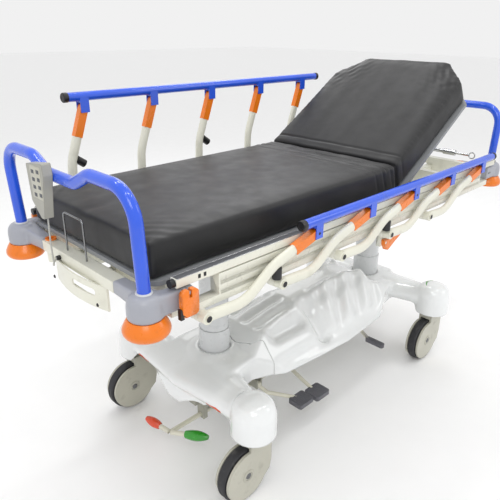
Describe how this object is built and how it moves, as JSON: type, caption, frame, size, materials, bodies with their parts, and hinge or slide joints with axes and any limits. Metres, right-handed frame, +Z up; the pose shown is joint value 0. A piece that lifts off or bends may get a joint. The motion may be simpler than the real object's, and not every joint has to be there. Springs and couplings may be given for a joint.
{
  "type": "stretcher trolley",
  "caption": "Height-adjustable hospital stretcher trolley with folding siderails, raised backrest, push handles, column lifts, moulded base covers and swivel casters.",
  "frame": {"origin": "on the floor under the middle of the trolley", "axes": "+X head end, -X foot end, +Y patient's right side, -Y patient's left side, +Z up"},
  "size_m": [2.091, 0.8428, 1.3559],
  "materials": {
    "chassis_paint": "dark grey powder coat on welded steel tube",
    "cover_white": "glossy white thermoformed shell",
    "column_grey": "light grey satin coated column tubes",
    "fork_beige": "warm grey satin caster hood",
    "wheel_tread": "near-black tread with a warm grey disc on each side",
    "lever_cream": "cream powder coat",
    "brake_pad_plastic": "moulded pedal pads, one red and one green",
    "frame_cream": "cream powder coat on steel",
    "socket_orange": "orange moulded bush",
    "casting_grey": "satin light grey painted aluminium casting",
    "bumper_orange": "orange moulded bumper, soft gloss",
    "profile_cream": "cream coated aluminium extrusion",
    "knob_black": "black moulded plastic",
    "handle_blue": "glossy blue powder coat",
    "wire_steel": "polished steel wire",
    "panel_grey": "grey platform laminate",
    "mattress_cover": "black coated elastic fabric, soft sheen",
    "handset_grey": "grey moulded handset with dark membrane keys",
    "cable_grey": "pale grey cable jacket",
    "spring_black": "black painted cylinder",
    "rod_steel": "hard chromed rod",
    "pole_steel": "polished steel tube with a grey lock collar",
    "latch_orange": "orange moulded paddle"
  },
  "bodies": {
    "base": {"base_chassis": "chassis_paint", "base_cover_foot": "cover_white", "base_cover_main": "cover_white", "column_sleeves": "column_grey"},
    "caster_foot_left": {"caster_fork_foot_left": "fork_beige"},
    "wheel_foot_left": {"wheel_foot_left": "wheel_tread"},
    "caster_foot_right": {"caster_fork_foot_right": "fork_beige"},
    "wheel_foot_right": {"wheel_foot_right": "wheel_tread"},
    "caster_head_left": {"caster_fork_head_left": "fork_beige"},
    "wheel_head_left": {"wheel_head_left": "wheel_tread"},
    "caster_head_right": {"caster_fork_head_right": "fork_beige"},
    "wheel_head_right": {"wheel_head_right": "wheel_tread"},
    "brake_pedal": {"brake_shaft": "lever_cream", "brake_pads": "brake_pad_plastic"},
    "pedal_left_foot": {"pedal_left_foot": "lever_cream"},
    "pedal_left_middle": {"pedal_left_middle": "lever_cream"},
    "pedal_left_release": {"pedal_left_release": "lever_cream"},
    "pedal_right_foot": {"pedal_right_foot": "lever_cream"},
    "pedal_right_middle": {"pedal_right_middle": "lever_cream"},
    "pedal_right_release": {"pedal_right_release": "lever_cream"},
    "foot_ram": {"foot_column_ram": "column_grey"},
    "head_middle": {"head_column_middle": "column_grey"},
    "head_ram": {"head_column_ram": "column_grey"},
    "frame": {"upper_frame": "frame_cream", "iv_sockets": "socket_orange", "corner_castings": "casting_grey", "corner_bumpers": "bumper_orange", "side_profiles": "profile_cream", "accessory_rails": "profile_cream", "push_handles": "handle_blue", "cradle_beams": "frame_cream", "frame_bearers": "frame_cream", "foot_apron": "frame_cream", "mattress_stop": "wire_steel", "handset": "handset_grey", "cable_gland": "knob_black", "handset_cable": "cable_grey", "seat_panel": "panel_grey", "mattress_seat": "mattress_cover", "gas_spring_cylinders": "spring_black"},
    "backrest": {"backrest_panel": "panel_grey", "mattress_back": "mattress_cover"},
    "spring_rods": {"gas_spring_rods": "rod_steel"},
    "iv_pole": {"iv_pole": "pole_steel"},
    "iv_stage": {"iv_pole_extension": "pole_steel"},
    "latch_left": {"siderail_latch_left": "latch_orange"},
    "latch_right": {"siderail_latch_right": "latch_orange"},
    "release_lever": {"release_lever": "latch_orange"},
    "left_post_1": {"left_post_1": "frame_cream"},
    "left_post_2": {"left_post_2": "frame_cream"},
    "left_post_3": {"left_post_3": "frame_cream"},
    "left_post_4": {"left_post_4": "frame_cream"},
    "left_post_5": {"left_post_5": "frame_cream"},
    "left_rail": {"left_rail": "handle_blue"},
    "right_post_1": {"right_post_1": "frame_cream"},
    "right_post_2": {"right_post_2": "frame_cream"},
    "right_post_3": {"right_post_3": "frame_cream"},
    "right_post_4": {"right_post_4": "frame_cream"},
    "right_post_5": {"right_post_5": "frame_cream"},
    "right_rail": {"right_rail": "handle_blue"}
  },
  "joints": [
    {"name": "caster_foot_left_swivel", "type": "hinge", "parent": "base", "child": "caster_foot_left", "pos_m": [-0.6, -0.335, 0.3], "axis": [0, 0, 1], "continuous": true},
    {"name": "wheel_foot_left_roll", "type": "hinge", "parent": "caster_foot_left", "child": "wheel_foot_left", "pos_m": [-0.652, -0.335, 0.1], "axis": [0, 1, 0], "continuous": true},
    {"name": "caster_foot_right_swivel", "type": "hinge", "parent": "base", "child": "caster_foot_right", "pos_m": [-0.6, 0.335, 0.3], "axis": [0, 0, 1], "continuous": true},
    {"name": "wheel_foot_right_roll", "type": "hinge", "parent": "caster_foot_right", "child": "wheel_foot_right", "pos_m": [-0.652, 0.335, 0.1], "axis": [0, 1, 0], "continuous": true},
    {"name": "caster_head_left_swivel", "type": "hinge", "parent": "base", "child": "caster_head_left", "pos_m": [0.6, -0.335, 0.3], "axis": [0, 0, 1], "continuous": true},
    {"name": "wheel_head_left_roll", "type": "hinge", "parent": "caster_head_left", "child": "wheel_head_left", "pos_m": [0.548, -0.335, 0.1], "axis": [0, 1, 0], "continuous": true},
    {"name": "caster_head_right_swivel", "type": "hinge", "parent": "base", "child": "caster_head_right", "pos_m": [0.6, 0.335, 0.3], "axis": [0, 0, 1], "continuous": true},
    {"name": "wheel_head_right_roll", "type": "hinge", "parent": "caster_head_right", "child": "wheel_head_right", "pos_m": [0.548, 0.335, 0.1], "axis": [0, 1, 0], "continuous": true},
    {"name": "brake_pedal_rock", "type": "hinge", "parent": "base", "child": "brake_pedal", "pos_m": [-0.715, -0.02, 0.104], "axis": [1, 0, 0], "range_deg": [-12, 12]},
    {"name": "pedal_left_foot_press", "type": "hinge", "parent": "base", "child": "pedal_left_foot", "pos_m": [-0.345, -0.105, 0.168], "axis": [1, 0, 0], "range_deg": [0, 20], "stiffness_Nm_per_rad": 12, "springref_deg": -14.32},
    {"name": "pedal_left_middle_press", "type": "hinge", "parent": "base", "child": "pedal_left_middle", "pos_m": [-0.163, -0.105, 0.168], "axis": [1, 0, 0], "range_deg": [0, 20], "stiffness_Nm_per_rad": 12, "springref_deg": -14.32},
    {"name": "pedal_left_release_press", "type": "hinge", "parent": "base", "child": "pedal_left_release", "pos_m": [0.32, -0.105, 0.168], "axis": [1, 0, 0], "range_deg": [0, 20], "stiffness_Nm_per_rad": 12, "springref_deg": -14.32},
    {"name": "pedal_right_foot_press", "type": "hinge", "parent": "base", "child": "pedal_right_foot", "pos_m": [-0.345, 0.105, 0.168], "axis": [-1, 0, 0], "range_deg": [0, 20], "stiffness_Nm_per_rad": 12, "springref_deg": -14.32},
    {"name": "pedal_right_middle_press", "type": "hinge", "parent": "base", "child": "pedal_right_middle", "pos_m": [-0.163, 0.105, 0.168], "axis": [-1, 0, 0], "range_deg": [0, 20], "stiffness_Nm_per_rad": 12, "springref_deg": -14.32},
    {"name": "pedal_right_release_press", "type": "hinge", "parent": "base", "child": "pedal_right_release", "pos_m": [0.32, 0.105, 0.168], "axis": [-1, 0, 0], "range_deg": [0, 20], "stiffness_Nm_per_rad": 12, "springref_deg": -14.32},
    {"name": "lift", "type": "slide", "parent": "base", "child": "foot_ram", "axis": [0, 0, 1], "range_m": [-0.25, 0]},
    {"name": "lift_head", "type": "slide", "parent": "base", "child": "head_middle", "axis": [0, 0, 1], "range_m": [-0.25, 0]},
    {"name": "tilt_head_ram", "type": "slide", "parent": "head_middle", "child": "head_ram", "axis": [0, 0, 1], "range_m": [-0.1225, 0.1225]},
    {"name": "tilt", "type": "hinge", "parent": "foot_ram", "child": "frame", "pos_m": [-0.475, 0, 0.83], "axis": [0, 1, 0], "range_deg": [-7, 7]},
    {"name": "backrest_hinge", "type": "hinge", "parent": "frame", "child": "backrest", "pos_m": [0.19, 0, 0.89], "axis": [0, -1, 0], "range_deg": [-32.5, 37.5]},
    {"name": "gas_spring_slide", "type": "slide", "parent": "frame", "child": "spring_rods", "axis": [1, 0, 0], "range_m": [-0.035, 0.04]},
    {"name": "iv_pole_fold", "type": "hinge", "parent": "frame", "child": "iv_pole", "pos_m": [0.962, 0.245, 0.911], "axis": [-1, 0, 0], "range_deg": [0, 90]},
    {"name": "iv_pole_extend", "type": "slide", "parent": "iv_pole", "child": "iv_stage", "axis": [0, -1, 0], "range_m": [0, 0.3]},
    {"name": "siderail_latch_left_press", "type": "hinge", "parent": "frame", "child": "latch_left", "pos_m": [-0.899, -0.4035, 0.887], "axis": [-1, 0, 0], "range_deg": [0, 15], "stiffness_Nm_per_rad": 3, "springref_deg": -5.73},
    {"name": "siderail_latch_right_press", "type": "hinge", "parent": "frame", "child": "latch_right", "pos_m": [-0.899, 0.4035, 0.887], "axis": [1, 0, 0], "range_deg": [0, 15], "stiffness_Nm_per_rad": 3, "springref_deg": -5.73},
    {"name": "release_lever_squeeze", "type": "hinge", "parent": "frame", "child": "release_lever", "pos_m": [0.03, -0.376, 0.752], "axis": [0, -1, 0], "range_deg": [0, 9], "stiffness_Nm_per_rad": 5, "springref_deg": -5.73},
    {"name": "left_siderail_fold", "type": "hinge", "parent": "frame", "child": "left_post_1", "pos_m": [-0.8514, -0.405, 0.8005], "axis": [0, -1, 0], "range_deg": [0, 54.5]},
    {"name": "left_post_2_pivot", "type": "hinge", "parent": "frame", "child": "left_post_2", "pos_m": [-0.5671, -0.405, 0.8005], "axis": [0, -1, 0], "range_deg": [0, 54.5]},
    {"name": "left_post_3_pivot", "type": "hinge", "parent": "frame", "child": "left_post_3", "pos_m": [-0.2828, -0.405, 0.8005], "axis": [0, -1, 0], "range_deg": [0, 54.5]},
    {"name": "left_post_4_pivot", "type": "hinge", "parent": "frame", "child": "left_post_4", "pos_m": [0.0015, -0.405, 0.8005], "axis": [0, -1, 0], "range_deg": [0, 54.5]},
    {"name": "left_post_5_pivot", "type": "hinge", "parent": "frame", "child": "left_post_5", "pos_m": [0.2858, -0.405, 0.8005], "axis": [0, -1, 0], "range_deg": [0, 54.5]},
    {"name": "left_rail_level", "type": "hinge", "parent": "left_post_1", "child": "left_rail", "pos_m": [-0.4187, -0.405, 0.9165], "axis": [0, -1, 0], "range_deg": [-54.5, 0]},
    {"name": "right_siderail_fold", "type": "hinge", "parent": "frame", "child": "right_post_1", "pos_m": [-0.8514, 0.405, 0.8005], "axis": [0, -1, 0], "range_deg": [-54.5, 0]},
    {"name": "right_post_2_pivot", "type": "hinge", "parent": "frame", "child": "right_post_2", "pos_m": [-0.5671, 0.405, 0.8005], "axis": [0, -1, 0], "range_deg": [-54.5, 0]},
    {"name": "right_post_3_pivot", "type": "hinge", "parent": "frame", "child": "right_post_3", "pos_m": [-0.2828, 0.405, 0.8005], "axis": [0, -1, 0], "range_deg": [-54.5, 0]},
    {"name": "right_post_4_pivot", "type": "hinge", "parent": "frame", "child": "right_post_4", "pos_m": [0.0015, 0.405, 0.8005], "axis": [0, -1, 0], "range_deg": [-54.5, 0]},
    {"name": "right_post_5_pivot", "type": "hinge", "parent": "frame", "child": "right_post_5", "pos_m": [0.2858, 0.405, 0.8005], "axis": [0, -1, 0], "range_deg": [-54.5, 0]},
    {"name": "right_rail_level", "type": "hinge", "parent": "right_post_1", "child": "right_rail", "pos_m": [-0.69457, 0.405, 1.22013], "axis": [0, -1, 0], "range_deg": [0, 54.5]}
  ],
  "couplings": [
    {"joint": "lift_head", "follows": "lift", "ratio": 1},
    {"joint": "tilt_head_ram", "follows": "tilt", "m_per_rad": -1},
    {"joint": "gas_spring_slide", "follows": "backrest_hinge", "m_per_rad": 0.0582},
    {"joint": "left_post_2_pivot", "follows": "left_siderail_fold", "ratio": 1},
    {"joint": "left_post_3_pivot", "follows": "left_siderail_fold", "ratio": 1},
    {"joint": "left_post_4_pivot", "follows": "left_siderail_fold", "ratio": 1},
    {"joint": "left_post_5_pivot", "follows": "left_siderail_fold", "ratio": 1},
    {"joint": "left_rail_level", "follows": "left_siderail_fold", "ratio": -1},
    {"joint": "right_post_2_pivot", "follows": "right_siderail_fold", "ratio": 1},
    {"joint": "right_post_3_pivot", "follows": "right_siderail_fold", "ratio": 1},
    {"joint": "right_post_4_pivot", "follows": "right_siderail_fold", "ratio": 1},
    {"joint": "right_post_5_pivot", "follows": "right_siderail_fold", "ratio": 1},
    {"joint": "right_rail_level", "follows": "right_siderail_fold", "ratio": -1}
  ]
}
